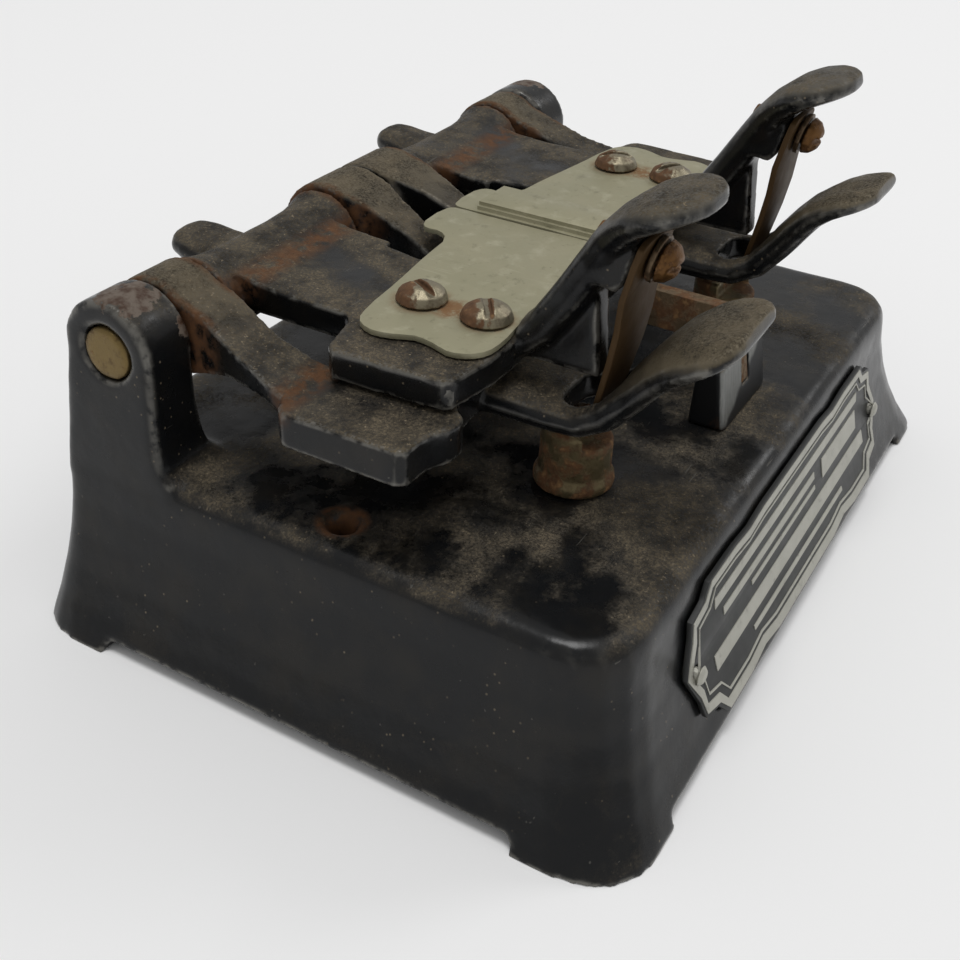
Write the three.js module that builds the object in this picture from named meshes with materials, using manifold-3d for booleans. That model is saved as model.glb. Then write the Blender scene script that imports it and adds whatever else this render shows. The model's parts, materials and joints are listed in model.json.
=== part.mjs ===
// Hand film splicer for 8 and 16 mm film: cast base, two pairs of hinged arms, steel film plates.
// Millimetres. +X along the hinge rod to the operator's right, +Y to the hinge side, +Z up.
// Origin at the centre of the base's footprint, on the surface that it stands on.
import * as THREE from 'three';
import { mergeVertices } from 'three/addons/utils/BufferGeometryUtils.js';
import Module from 'manifold-3d';

const wasm = await Module();
wasm.setup();

// ---------------------------------------------------------------- driving dimensions
const GAP = 0.3;
// Past the end of every piece, for cutters.
const FAR = 80;

// The foot's reach from the origin to the sides, front and back, and the height of the flat top.
const BASE = { halfX: 72.3, front: 52.35, back: 51.05, height: 28.7 };
const BASE_FLARE = { side: 9, front: 8.4, back: 3.9 };
const BASE_CORNER = { front: 10, back: 2.5, backFoot: 9 };
const BASE_EDGE_RADIUS = 3;
const BASE_WALL = 5;
const FOOT = { recess: 1.8, endX: 56, endY: 35 };
const FIXING_HOLE = { x: 56, y: 1.2, radius: 1.8, sinkRadius: 2.9, sinkDepth: 1.4 };

const HINGE = { y: 36.2, z: 47, rodRadius: 3.97, boreRadius: 4.17 };
const POST = { inner: 53.1, outer: 62.3, radius: 7.9, corner: 1.2, spreadOut: 1, spreadBack: 3 };
const KNUCKLE = {
  radius: 8.3, innerEnd: 11.15, innerStart: 0.3,
  outerRadius: 7.7, outerEnd: 52.8, outerStart: 44,
};
// The barrel's radius at places along the rod: a waist between flared ends.
const BARREL = [
  [-43.6, 7.4], [-42, 6.9], [-39, 6.3], [-35, 6], [-22, 6], [-16.5, 6.3], [-13.4, 6.9], [-11.55, 7.7],
];

const FILM_Z = 46.3;
const PLATFORM = { top: FILM_Z - GAP, bottom: 40.5 };
const BLOCK = { bottom: FILM_Z + GAP, top: 51.1 };
const PLATE = { bottom: BLOCK.top + GAP, thickness: 0.8 };
const TRACK = { thickness: 1.3, outer: 42.5, inner: 0.6, front: -8.3, back: 8.3, corner: 1.2 };

const HANDLE_X = -29;
const LATCH = { y: -28.4, z: 66.1, tilt: THREE.MathUtils.degToRad(11.5), thickness: 0.9, hole: 1.9 };
const LATCH_WASHER = { radius: 3.3, thickness: 0.8 };
const LATCH_SCREW = { head: 3, rise: 2.5, shank: 1.6, length: 7.5, slot: 0.9 };
const SLOT = { halfX: 5.1, front: -28, back: -19.6 };
const REST = { x: -29, y: -20.7, radius: 5.3, rimRadius: 6, rimHeight: 2, top: 39, shank: 2.5 };
const GUIDE = {
  x: 5.3, thickness: 2.6, back: -12.4, stepY: -31.4, top: 45, tailBottom: 38.7, rootBottom: 33.2,
};
// The block that holds the guide: its front leans back from the foot to the top.
const CENTRE = {
  x: 4.7, halfX: 9.6, back: -28.4, frontFoot: -34.5, frontTop: -33.2, top: 39, corner: 1, screw: 2,
};

const CENTRE_SCREW_Y = (CENTRE.back + CENTRE.frontFoot) / 2;

const PLATE_SCREW = { x: -32.4, y: [3.6, -7], head: 3.9, rise: 2.5, shank: 1.9, length: 4.2, slot: 1.1 };
const TRACK_SCREW = { x: [-36, -24], head: 2.6, shank: 1.5, length: 4.5, slot: 0.7 };
const REGISTER = { x: -14, y: 6.15, radius: 0.85, bottom: 43, rise: 0.9 };
const NAMEPLATE = { halfX: 45, low: 4, high: 25, thickness: 0.8, pinX: 42, pinZ: 14 };

// ---------------------------------------------------------------- solids and booleans
function solid(geometry) {
  const bare = geometry.clone();
  bare.deleteAttribute('normal');
  bare.deleteAttribute('uv');
  const welded = mergeVertices(bare, 1e-4);
  return new wasm.Manifold(new wasm.Mesh({
    numProp: 3,
    vertProperties: new Float32Array(welded.attributes.position.array),
    triVerts: new Uint32Array(welded.index.array),
  }));
}

function geometryOf(body) {
  const mesh = body.getMesh();
  const geometry = new THREE.BufferGeometry();
  geometry.setAttribute('position', new THREE.BufferAttribute(new Float32Array(mesh.vertProperties), 3));
  geometry.setIndex(new THREE.BufferAttribute(new Uint32Array(mesh.triVerts), 1));
  return geometry;
}

function join(first, ...others) {
  return others.reduce((body, other) => body.add(other), first);
}

function cut(first, ...others) {
  return others.reduce((body, other) => body.subtract(other), first);
}

function box(x0, x1, y0, y1, z0, z1) {
  const geometry = new THREE.BoxGeometry(x1 - x0, y1 - y0, z1 - z0);
  geometry.translate((x0 + x1) / 2, (y0 + y1) / 2, (z0 + z1) / 2);
  return solid(geometry);
}

// A cylinder along X, centred on (y, z).
function rodX(radius, x0, x1, y, z, sides = 24) {
  const geometry = new THREE.CylinderGeometry(radius, radius, x1 - x0, sides);
  geometry.rotateZ(Math.PI / 2);
  geometry.translate((x0 + x1) / 2, y, z);
  return solid(geometry);
}

// A cylinder along Z, centred on (x, y).
function rodZ(radius, z0, z1, x, y, sides = 12) {
  const geometry = new THREE.CylinderGeometry(radius, radius, z1 - z0, sides);
  geometry.rotateX(Math.PI / 2);
  geometry.translate(x, y, (z0 + z1) / 2);
  return solid(geometry);
}

// A body turned about the Z axis from [radius, z] points that start and end on the axis.
function turned(points, x, y, sides = 16) {
  const profile = points.map(([radius, z]) => new THREE.Vector2(radius, z));
  const geometry = new THREE.LatheGeometry(profile, sides);
  geometry.rotateX(Math.PI / 2);
  geometry.translate(x, y, 0);
  return solid(geometry);
}

function outline(points) {
  return new THREE.Shape(points.map(([a, b]) => new THREE.Vector2(a, b)));
}

// A smooth closed outline through points.
function smoothOutline(points, steps) {
  const through = points.map(([a, b]) => new THREE.Vector3(a, b, 0));
  const curve = new THREE.CatmullRomCurve3(through, true, 'centripetal');
  return outline(curve.getPoints(steps).slice(0, -1).map((p) => [p.x, p.y]));
}

// An outline in the XY plane, extruded from z0 to z1.
function plan(shape, z0, z1) {
  const geometry = new THREE.ExtrudeGeometry(shape, { depth: z1 - z0, bevelEnabled: false });
  geometry.translate(0, 0, z0);
  return solid(geometry);
}

// An outline in the YZ plane, extruded from x0 to x1.
function side(shape, x0, x1) {
  const geometry = new THREE.ExtrudeGeometry(shape, { depth: x1 - x0, bevelEnabled: false });
  geometry.applyMatrix4(new THREE.Matrix4().set(0, 0, 1, x0, 1, 0, 0, 0, 0, 1, 0, 0, 0, 0, 0, 1));
  return solid(geometry);
}

// An outline in the XZ plane, extruded from y0 to y1.
function front(shape, y0, y1) {
  const geometry = new THREE.ExtrudeGeometry(shape, { depth: y1 - y0, bevelEnabled: false });
  geometry.applyMatrix4(new THREE.Matrix4().set(1, 0, 0, 0, 0, 0, -1, y1, 0, 1, 0, 0, 0, 0, 0, 1));
  return solid(geometry);
}

// A closed body through rings that all have the same number of points.
function loft(rings) {
  const count = rings[0].length;
  const centre = (ring) => ring.reduce((sum, p) => sum.add(p), new THREE.Vector3()).divideScalar(count);
  const points = [...rings.flat(), centre(rings[0]), centre(rings[rings.length - 1])];
  const faces = [];
  const startCap = rings.length * count;
  for (let i = 0; i < count; i += 1) {
    const next = (i + 1) % count;
    for (let r = 0; r < rings.length - 1; r += 1) {
      const low = r * count;
      const high = low + count;
      faces.push(low + i, low + next, high + next, low + i, high + next, high + i);
    }
    const last = (rings.length - 1) * count;
    faces.push(startCap, next, i, startCap + 1, last + i, last + next);
  }
  const geometry = new THREE.BufferGeometry().setFromPoints(points);
  geometry.setIndex(faces);
  return solid(geometry);
}

// A cast lever along stations of [y, z, width, thickness, droop], with rounded sections centred on x.
// The droop is how far the section's outer edge, towards -X, hangs below its middle.
function lever(stations, x, squareness = 0.62) {
  const points = 12;
  const centres = stations.map(([y, z]) => new THREE.Vector2(y, z));
  const rings = stations.map(([y, z, width, thickness, droop = 0], i) => {
    const before = centres[Math.max(i - 1, 0)];
    const after = centres[Math.min(i + 1, centres.length - 1)];
    const along = after.clone().sub(before).normalize();
    const ring = [];
    for (let k = 0; k < points; k += 1) {
      const angle = (2 * Math.PI * k) / points;
      const across = Math.sign(Math.cos(angle)) * Math.abs(Math.cos(angle)) ** squareness;
      const up = Math.sign(Math.sin(angle)) * Math.abs(Math.sin(angle)) ** squareness;
      const deep = up * thickness / 2 - droop * Math.min(across, 0) ** 2;
      ring.push(new THREE.Vector3(x + across * width / 2, y + along.y * deep, z - along.x * deep));
    }
    return ring;
  });
  return loft(rings);
}

// ---------------------------------------------------------------- base casting
// A level ring of points round a rectangle whose back and front corners have their own radii.
function roundedRectangle({ x0, x1, y0, y1, backRadius, frontRadius }, z) {
  const stepsPerCorner = 4;
  const ring = [];
  for (let corner = 0; corner < 4; corner += 1) {
    const radius = corner < 2 ? backRadius : frontRadius;
    const centreX = corner === 0 || corner === 3 ? x1 - radius : x0 + radius;
    const centreY = corner < 2 ? y1 - radius : y0 + radius;
    for (let i = 0; i <= stepsPerCorner; i += 1) {
      const angle = (corner + i / stepsPerCorner) * Math.PI / 2;
      ring.push(new THREE.Vector3(centreX + radius * Math.cos(angle), centreY + radius * Math.sin(angle), z));
    }
  }
  return ring;
}

// How far the wall has come in from its foot at a height: quick at the foot, upright at the top.
function flareAt(z) {
  const rise = Math.min(Math.max(z / BASE.height, 0), 1);
  return 1 - (1 - rise) ** 2;
}

function baseRing(z, inset) {
  const flare = flareAt(z);
  const halfX = BASE.halfX - BASE_FLARE.side * flare - inset;
  return roundedRectangle({
    x0: -halfX,
    x1: halfX,
    y0: -(BASE.front - BASE_FLARE.front * flare - inset),
    y1: BASE.back - BASE_FLARE.back * flare - inset,
    backRadius: Math.max(THREE.MathUtils.lerp(BASE_CORNER.backFoot, BASE_CORNER.back, flare) - inset, 1),
    frontRadius: Math.max(BASE_CORNER.front - inset, 1),
  }, z);
}

function baseShell() {
  const layers = 5;
  const straight = BASE.height - BASE_EDGE_RADIUS;
  const rings = [];
  for (let i = 0; i <= layers; i += 1) {
    rings.push(baseRing(straight * i / layers, 0));
  }
  const edgeSteps = 3;
  for (let i = 1; i <= edgeSteps; i += 1) {
    const angle = (i / edgeSteps) * Math.PI / 2;
    const z = straight + BASE_EDGE_RADIUS * Math.sin(angle);
    rings.push(baseRing(z, BASE_EDGE_RADIUS * (1 - Math.cos(angle))));
  }
  const ceiling = BASE.height - BASE_WALL;
  const below = -1;
  const hollow = [baseRing(0, BASE_WALL).map((p) => p.setZ(below))];
  for (let i = 0; i <= layers; i += 1) {
    hollow.push(baseRing(ceiling * i / layers, BASE_WALL));
  }
  return cut(loft(rings), loft(hollow));
}

// The left post: its outer side and back spread evenly down to the base, its other sides only at the root.
function hingePost() {
  const front = HINGE.y - POST.radius;
  const back = HINGE.y + POST.radius;
  const rootZ = BASE.height - BASE_WALL + 1;
  const ring = (z, inward, forward) => {
    const spread = (HINGE.z - z) / (HINGE.z - rootZ);
    return roundedRectangle({
      x0: -POST.outer - POST.spreadOut * spread,
      x1: -POST.inner + inward,
      y0: front - forward,
      y1: back + POST.spreadBack * spread,
      backRadius: POST.corner,
      frontRadius: POST.corner,
    }, z);
  };
  const upright = loft([
    ring(rootZ, 3, 2.6),
    ring(BASE.height, 3, 2.6),
    ring(BASE.height + 0.8, 1.9, 1.3),
    ring(BASE.height + 2, 1.2, 0.6),
    ring(BASE.height + 4, 0.8, 0.2),
    ring(BASE.height + 9.3, 0.1, 0),
    ring(HINGE.z, 0, 0),
  ]);
  return join(upright, rodX(POST.radius, -POST.outer, -POST.inner, HINGE.y, HINGE.z));
}

function fixingHole(sign) {
  const { x, y, radius, sinkRadius, sinkDepth } = FIXING_HOLE;
  const top = BASE.height + 1;
  return turned([
    [0, 0], [radius, 0], [radius, BASE.height - sinkDepth], [sinkRadius, BASE.height],
    [sinkRadius, top], [0, top],
  ], sign * x, y);
}

function baseCasting() {
  const low = -1;
  return cut(
    join(baseShell(), hingePost(), mirrored(hingePost())),
    box(-FAR, FAR, -FOOT.endY, FOOT.endY, low, FOOT.recess),
    box(-FOOT.endX, FOOT.endX, -FAR, FAR, low, FOOT.recess),
    rodX(HINGE.boreRadius, -FAR, FAR, HINGE.y, HINGE.z),
    fixingHole(-1),
    fixingHole(1),
    rodZ(REST.shank + GAP, 20, 30, REST.x, REST.y),
    rodZ(REST.shank + GAP, 20, 30, -REST.x, REST.y),
    rodZ(CENTRE.screw + GAP, 20, 30, CENTRE.x, CENTRE_SCREW_Y),
    pinHole(-1),
    pinHole(1),
  );
}

// ---------------------------------------------------------------- lower arms
function platformOutline() {
  const inner = -KNUCKLE.innerStart;
  return outline([
    [inner, 11], [-47, 9.6], [-58.4, 9.6], [-60, 8], [-59.7, -9.6], [-58.6, -11], [-55.4, -11],
    [-53.6, -11.4], [-51.6, -12.6], [-49.4, -13], [-47.6, -12.6], [-46.4, -11], [-45, -10], [-38, -9.4],
    [-22, -9.4], [inner, -9.2],
  ]);
}

function outerLeg() {
  const profile = outline([
    [HINGE.y, 39.8], [29, 41.6], [22, 43.8], [14, 43.8], [8.5, 42.6], [8.5, PLATFORM.top],
    [13, 46.6], [20, 48.4], [27, 51.4], [HINGE.y, 54.4],
  ]);
  const route = outline([
    [-KNUCKLE.outerStart, HINGE.y], [-KNUCKLE.outerEnd, HINGE.y], [-KNUCKLE.outerEnd, 27],
    [-53.4, 24], [-55.2, 16], [-57.6, 8.5], [-46.4, 8.5], [-46, 18], [-KNUCKLE.outerStart, 28],
  ]);
  return side(profile, -60, -40).intersect(plan(route, 30, 60));
}

function innerLeg() {
  const profile = outline([
    [HINGE.y, 39], [28, 39.6], [18, 41], [10, PLATFORM.bottom], [10, PLATFORM.top], [15, 46.6],
    [19.5, 49.4], [24, 51.6], [30, 54], [HINGE.y, 55.2],
  ]);
  const route = outline([
    [-KNUCKLE.innerEnd, HINGE.y], [-KNUCKLE.innerEnd, 32], [-10.4, 27], [-9.6, 20], [-9.6, 10], [-3.6, 10],
    [-3.6, 21], [-2.6, 26], [-1, 30], [-KNUCKLE.innerStart, 33], [-KNUCKLE.innerStart, HINGE.y],
  ]);
  return side(profile, -KNUCKLE.innerEnd, -KNUCKLE.innerStart).intersect(plan(route, 30, 60));
}

function lowerHandle() {
  return lever([
    [-7, 42.2, 18, 5], [-13, 42.2, 17.5, 5], [-19, 42.1, 17, 4.8], [-23.5, 42.4, 17, 4.8],
    [-27, 44.4, 16.5, 4.8], [-30, 48.2, 16, 4.8, 0.5], [-32.8, 52.3, 16.8, 4.6, 1.1],
    [-35, 55.1, 18.4, 4.3, 1.6], [-37.4, 57.1, 19.8, 4, 1.8], [-39.6, 58.3, 20.2, 3.7, 1.6],
    [-41.4, 59, 19.2, 3.3, 1.2], [-42.9, 59.6, 16.6, 2.9, 0.7], [-44, 60, 12, 2.3, 0.2],
  ], HANDLE_X);
}

function latchSlot() {
  const corner = 2.4;
  const shape = new THREE.Shape();
  const left = HANDLE_X - SLOT.halfX;
  const right = HANDLE_X + SLOT.halfX;
  shape.moveTo(left + corner, SLOT.front);
  shape.absarc(right - corner, SLOT.front + corner, corner, -Math.PI / 2, 0, false);
  shape.absarc(right - corner, SLOT.back - corner, corner, 0, Math.PI / 2, false);
  shape.absarc(left + corner, SLOT.back - corner, corner, Math.PI / 2, Math.PI, false);
  shape.absarc(left + corner, SLOT.front + corner, corner, Math.PI, 1.5 * Math.PI, false);
  return plan(shape, 36, 54);
}

function trackOutline(grow) {
  const { outer, inner, front: low, back, corner } = TRACK;
  const x0 = -outer - grow;
  const x1 = -inner + grow;
  return outline([
    [x0 + corner, low - grow], [x1, low - grow], [x1, back + grow], [x0 + corner, back + grow],
    [x0, back + grow - corner], [x0, low - grow + corner],
  ]);
}

function lowerArm() {
  const body = join(
    rodX(KNUCKLE.outerRadius, -KNUCKLE.outerEnd, -KNUCKLE.outerStart, HINGE.y, HINGE.z),
    rodX(KNUCKLE.radius, -KNUCKLE.innerEnd, -KNUCKLE.innerStart, HINGE.y, HINGE.z),
    plan(platformOutline(), PLATFORM.bottom, PLATFORM.top),
    outerLeg(),
    innerLeg(),
    lowerHandle(),
  );
  const seat = FILM_Z - TRACK.thickness - GAP;
  const trackSeat = plan(trackOutline(GAP), seat, PLATFORM.top + 1);
  const innerEndOpen = box(-TRACK.inner - 1, 1, TRACK.front - GAP, TRACK.back + GAP, seat, PLATFORM.top + 1);
  const screwHoles = TRACK_SCREW.x.map((x) => rodZ(TRACK_SCREW.shank + GAP, 38, 50, x, 0));
  const pinHoles = [-1, 1].map((sign) => (
    rodZ(REGISTER.radius + GAP, 42.5, 50, REGISTER.x, sign * REGISTER.y, 8)));
  return cut(
    body,
    rodX(HINGE.boreRadius, -FAR, FAR, HINGE.y, HINGE.z),
    latchSlot(),
    trackSeat,
    innerEndOpen,
    ...screwHoles,
    ...pinHoles,
  );
}

function filmTrack() {
  const bottom = FILM_Z - TRACK.thickness;
  const sheet = plan(trackOutline(0), bottom, FILM_Z);
  const holes = TRACK_SCREW.x.map((x) => turned([
    [0, bottom - 1], [TRACK_SCREW.shank + GAP, bottom - 1], [TRACK_SCREW.shank + GAP, bottom + 0.2],
    [TRACK_SCREW.head + GAP, FILM_Z + 0.05], [TRACK_SCREW.head + GAP, FILM_Z + 1], [0, FILM_Z + 1],
  ], x, 0));
  const pinHoles = [-1, 1].map((sign) => (
    rodZ(REGISTER.radius + 0.15, 40, 50, REGISTER.x, sign * REGISTER.y, 8)));
  return cut(sheet, ...holes, ...pinHoles);
}

function trackScrew(x) {
  const top = FILM_Z - 0.05;
  const bottom = FILM_Z - TRACK.thickness;
  const body = turned([
    [0, bottom - TRACK_SCREW.length], [TRACK_SCREW.shank, bottom - TRACK_SCREW.length],
    [TRACK_SCREW.shank, bottom + 0.2], [TRACK_SCREW.head, top], [0, top],
  ], x, 0);
  const half = TRACK_SCREW.slot / 2;
  return cut(body, box(x - 4, x + 4, -half, half, top - 0.6, top + 1));
}

function registerPin(sign) {
  const { radius, bottom } = REGISTER;
  const top = FILM_Z + REGISTER.rise;
  return turned([
    [0, bottom], [radius, bottom], [radius, top - 0.5], [radius * 0.6, top], [0, top],
  ], REGISTER.x, sign * REGISTER.y, 8);
}

// ---------------------------------------------------------------- upper arms
function barrel() {
  const ends = [[0, BARREL[0][0]], [0, BARREL[BARREL.length - 1][0]]];
  const profile = [ends[0], ...BARREL.map(([x, radius]) => [radius, x]), ends[1]];
  const geometry = new THREE.LatheGeometry(profile.map(([radius, x]) => new THREE.Vector2(radius, x)), 24);
  geometry.rotateZ(-Math.PI / 2);
  geometry.translate(0, HINGE.y, HINGE.z);
  return solid(geometry);
}

function blockOutline() {
  return outline([
    [-40, 31], [-40, 11.2], [-41.6, 10], [-48.8, 8.2], [-50, 6.8], [-49, -9.8], [-47.8, -11], [-40, -12.2],
    [-34, -12.4], [-26, -11.6], [-22, -9.4], [-1.4, -8.4], [-1.4, 12.6], [-9.6, 12.6], [-13.8, 11.4],
    [-18.5, 12.4], [-17, 20], [-15, 31],
  ]);
}

function upperHandle() {
  return lever([
    [-5.5, 48.9, 10.5, 4], [-11, 49.4, 10, 4.8], [-14.9, 52.8, 9, 5.3], [-18.9, 59, 8.6, 5.4],
    [-21.9, 64.2, 9.2, 5.4], [-24, 67.8, 11, 5.2], [-26, 70.4, 13.8, 4.8], [-28.2, 72.2, 16.6, 4.6],
    [-30.4, 73.4, 18, 4.2], [-32.6, 74.2, 17, 3.8], [-34.5, 74.7, 13.8, 3.2], [-35.8, 75, 9.4, 2.6],
    [-36.5, 75.2, 4.8, 2],
  ], HANDLE_X);
}

function rearEar() {
  return lever([
    [36, 46.8, 15, 8], [41, 47.8, 12.6, 6.2], [44.5, 48.6, 11, 5.2], [47.4, 49.2, 10.4, 4.8],
    [49.6, 49.5, 9, 4.2], [50.8, 49.6, 5.6, 2.8],
  ], HANDLE_X, 0.8);
}

// The concave blend from the top of the block up to the barrel.
function barrelBlend() {
  const shape = outline([
    [20, 48], [20, BLOCK.top], [26, 51.3], [29.4, 51.8], [32, 52.3], [34.4, 52.7], [35, 50], [34, 48],
  ]);
  return side(shape, -40, -15.4);
}

function handleWeb() {
  const halfWidth = 2;
  const shape = outline([[-9, 47.4], [-23.8, 47.4], [-22.2, 62], [-20.6, 64], [-13.5, 52.5]]);
  return side(shape, HANDLE_X - halfWidth, HANDLE_X + halfWidth);
}

// A point of the latch's clamped stack: out along its normal, up along its face.
function latchPoint(out, up) {
  const sin = Math.sin(LATCH.tilt);
  const cos = Math.cos(LATCH.tilt);
  return [LATCH.y - out * cos - up * sin, LATCH.z - out * sin + up * cos];
}

function latchLug() {
  const halfWidth = 4.4;
  const back = -LATCH.thickness / 2 - GAP;
  const shape = outline([
    latchPoint(back - 0.3, 5.6), [-25, 71], [-21.4, 64.5], [-21.5, 62], latchPoint(back - 3.4, -5.2),
    latchPoint(back - 0.9, -4.9), latchPoint(back - 0.2, -3.4), latchPoint(back, -2.4), latchPoint(back, 2.4),
  ]);
  return side(shape, HANDLE_X - halfWidth, HANDLE_X + halfWidth);
}

// A turned body whose axis is the latch screw's, from [radius, distance out] points.
function onLatchAxis(points, sides = 14) {
  const profile = points.map(([radius, out]) => new THREE.Vector2(radius, out));
  const geometry = new THREE.LatheGeometry(profile, sides);
  geometry.rotateX(Math.PI + LATCH.tilt);
  geometry.translate(HANDLE_X, LATCH.y, LATCH.z);
  return solid(geometry);
}

function upperArm() {
  const body = join(
    barrel(),
    plan(blockOutline(), BLOCK.bottom, BLOCK.top),
    barrelBlend(),
    rearEar(),
    upperHandle(),
    handleWeb(),
    latchLug(),
  );
  const screwHoles = PLATE_SCREW.y.map((y) => rodZ(PLATE_SCREW.shank + GAP, 47.8, 60, PLATE_SCREW.x, y));
  const pinHoles = [-1, 1].map((sign) => (
    rodZ(REGISTER.radius + 0.6, 40, 48.8, REGISTER.x, sign * REGISTER.y, 8)));
  const latchHole = onLatchAxis([[0, -9], [LATCH.hole, -9], [LATCH.hole, 3], [0, 3]]);
  const plateSeat = plan(plateOutline(GAP), BLOCK.top, BLOCK.top + PLATE.thickness + 2 * GAP + 1.4);
  return cut(
    body,
    rodX(HINGE.boreRadius, -FAR, FAR, HINGE.y, HINGE.z),
    latchHole,
    plateSeat,
    ...screwHoles,
    ...pinHoles,
  );
}

// ---------------------------------------------------------------- pressure plates
function plateOutline(grow) {
  const g = grow;
  return smoothOutline([
    [-0.4 + g, 12], [-0.4 + g, 17.4 + g], [-1.4 + g, 18.3 + g], [-8.4, 18.3 + g], [-10 - g, 17],
    [-10 - g, 14.4],
    [-12, 12.2 + g], [-19.4, 11.2 + g], [-30, 9.7 + g], [-39.2, 8.6 + g], [-42.4 - g, 7.4 + g],
    [-43.8 - g, 4.6], [-43.3 - g, 1.6], [-42 - g, -1.4], [-42.4 - g, -4.4], [-43.3 - g, -7.4],
    [-42.4 - g, -10 - g], [-40.4, -11.6 - g], [-37, -12 - g], [-30, -11.3 - g], [-12, -9.6 - g],
    [-1.6, -8.7 - g], [-0.4 + g, -8 - g], [-0.4 + g, 0],
  ], 50);
}

function plateScrewHoles() {
  return PLATE_SCREW.y.map((y) => rodZ(PLATE_SCREW.shank + GAP, 40, 60, PLATE_SCREW.x, y));
}

function leftPlate() {
  return cut(plan(plateOutline(0), PLATE.bottom, PLATE.bottom + PLATE.thickness), ...plateScrewHoles());
}

// The right plate is two sheets thick at the shear edge, with the edge stepped back upwards.
function rightPlateAsLeft() {
  const lip = { start: -9, inner: [-1.1, -1.7], rise: [0.6, 1.2], front: -8.2, back: 14 };
  const top = PLATE.bottom + PLATE.thickness;
  const steps = lip.inner.map((inner, i) => (
    box(lip.start - i, inner, lip.front, lip.back, top - 0.4, top + lip.rise[i])));
  return cut(join(plan(plateOutline(0), PLATE.bottom, top), ...steps), ...plateScrewHoles());
}

// The [radius, height] points of a domed head, from its rim to its crown.
function domePoints(radius, seat, rise) {
  const steps = 3;
  const points = [];
  for (let i = 0; i < steps; i += 1) {
    const angle = (i / steps) * Math.PI / 2;
    points.push([radius * Math.cos(angle), seat + rise * Math.sin(angle)]);
  }
  return [...points, [0, seat + rise]];
}

function roundHeadScrew(x, y, seat, spec, slotAngle) {
  const points = [
    [0, seat - spec.length], [spec.shank, seat - spec.length], [spec.shank, seat],
    ...domePoints(spec.head, seat, spec.rise),
  ];
  const slot = new THREE.BoxGeometry(spec.head * 2.4, spec.slot, spec.rise);
  slot.rotateZ(slotAngle);
  slot.translate(x, y, seat + spec.rise * 1.05);
  return cut(turned(points, x, y), solid(slot));
}

// ---------------------------------------------------------------- latches
function latchSpring() {
  const centreLine = [
    [latchPoint(0, 3.1), 7.6], [latchPoint(0, 2.4), 9.8], [latchPoint(0, 0), 11], [latchPoint(0, -5), 11.4],
    [[-27.1, 56.6], 11], [[-26.4, 52], 10.4], [[-25.5, 47.6], 9.4], [[-24.6, 43.6], 8.4],
    [[-24.3, 40.8], 7.6],
  ];
  const half = LATCH.thickness / 2;
  const rings = centreLine.map(([[y, z], width], i) => {
    const [by, bz] = centreLine[Math.max(i - 1, 0)][0];
    const [ay, az] = centreLine[Math.min(i + 1, centreLine.length - 1)][0];
    const along = new THREE.Vector2(ay - by, az - bz).normalize();
    const corner = (sx, sn) => new THREE.Vector3(
      HANDLE_X + sx * width / 2,
      y + sn * along.y * half,
      z - sn * along.x * half,
    );
    return [corner(1, 1), corner(-1, 1), corner(-1, -1), corner(1, -1)];
  });
  const toe = box(HANDLE_X - 3.6, HANDLE_X + 3.6, -24.5, -22.6, 40.4, 41.4);
  const hole = onLatchAxis([[0, -3], [LATCH.hole, -3], [LATCH.hole, 3], [0, 3]]);
  return cut(join(loft(rings), toe), hole);
}

function latchWasher() {
  const start = LATCH.thickness / 2 + GAP;
  const end = start + LATCH_WASHER.thickness;
  const { radius } = LATCH_WASHER;
  return onLatchAxis([
    [LATCH.hole, start], [radius, start], [radius, end], [LATCH.hole, end], [LATCH.hole, start],
  ]);
}

function latchScrew() {
  const { head, rise, shank, length, slot } = LATCH_SCREW;
  const seat = LATCH.thickness / 2 + 2 * GAP + LATCH_WASHER.thickness;
  const body = onLatchAxis([[0, -length], [shank, -length], [shank, seat], ...domePoints(head, seat, rise)]);
  const cutter = new THREE.BoxGeometry(head * 2.4, rise, slot);
  cutter.rotateX(LATCH.tilt);
  const [y, z] = latchPoint(seat + rise * 1.1, 0);
  cutter.translate(HANDLE_X, y, z);
  return cut(body, solid(cutter));
}

// ---------------------------------------------------------------- rest posts, centre guide, nameplate
function restPost() {
  const seat = BASE.height + GAP;
  const body = turned([
    [0, seat - 4.6], [REST.shank, seat - 4.6], [REST.shank, seat], [REST.rimRadius, seat],
    [REST.rimRadius, seat + REST.rimHeight - 0.5], [REST.rimRadius - 0.4, seat + REST.rimHeight],
    [REST.radius, seat + REST.rimHeight], [REST.radius, REST.top - 0.5], [REST.radius - 0.5, REST.top],
    [0, REST.top],
  ], REST.x, REST.y, 20);
  const notch = box(REST.x - 4.3, REST.x + 6, REST.y - 6, REST.y - 0.5, REST.top - 2.4, REST.top + 1);
  return cut(body, notch);
}

// The cast block in front of the film plates: rectangular, with the guide's slit open at its front and top.
function centreBlock() {
  const seat = BASE.height + GAP;
  const ring = (z, front, inset) => roundedRectangle({
    x0: CENTRE.x - CENTRE.halfX + inset,
    x1: CENTRE.x + CENTRE.halfX - inset,
    y0: front + inset,
    y1: CENTRE.back - inset,
    backRadius: CENTRE.corner,
    frontRadius: CENTRE.corner,
  }, z);
  const chamfer = 0.6;
  const body = loft([
    ring(seat, CENTRE.frontFoot, 0),
    ring(CENTRE.top - chamfer, CENTRE.frontTop, 0.2),
    ring(CENTRE.top, CENTRE.frontTop, chamfer),
  ]);
  const slitHalf = GUIDE.thickness / 2 + GAP;
  return cut(
    body,
    box(GUIDE.x - slitHalf, GUIDE.x + slitHalf, -50, -20, GUIDE.rootBottom - GAP, 60),
    rodZ(CENTRE.screw + GAP, 20, GUIDE.rootBottom - 1, CENTRE.x, CENTRE_SCREW_Y),
  );
}

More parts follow.
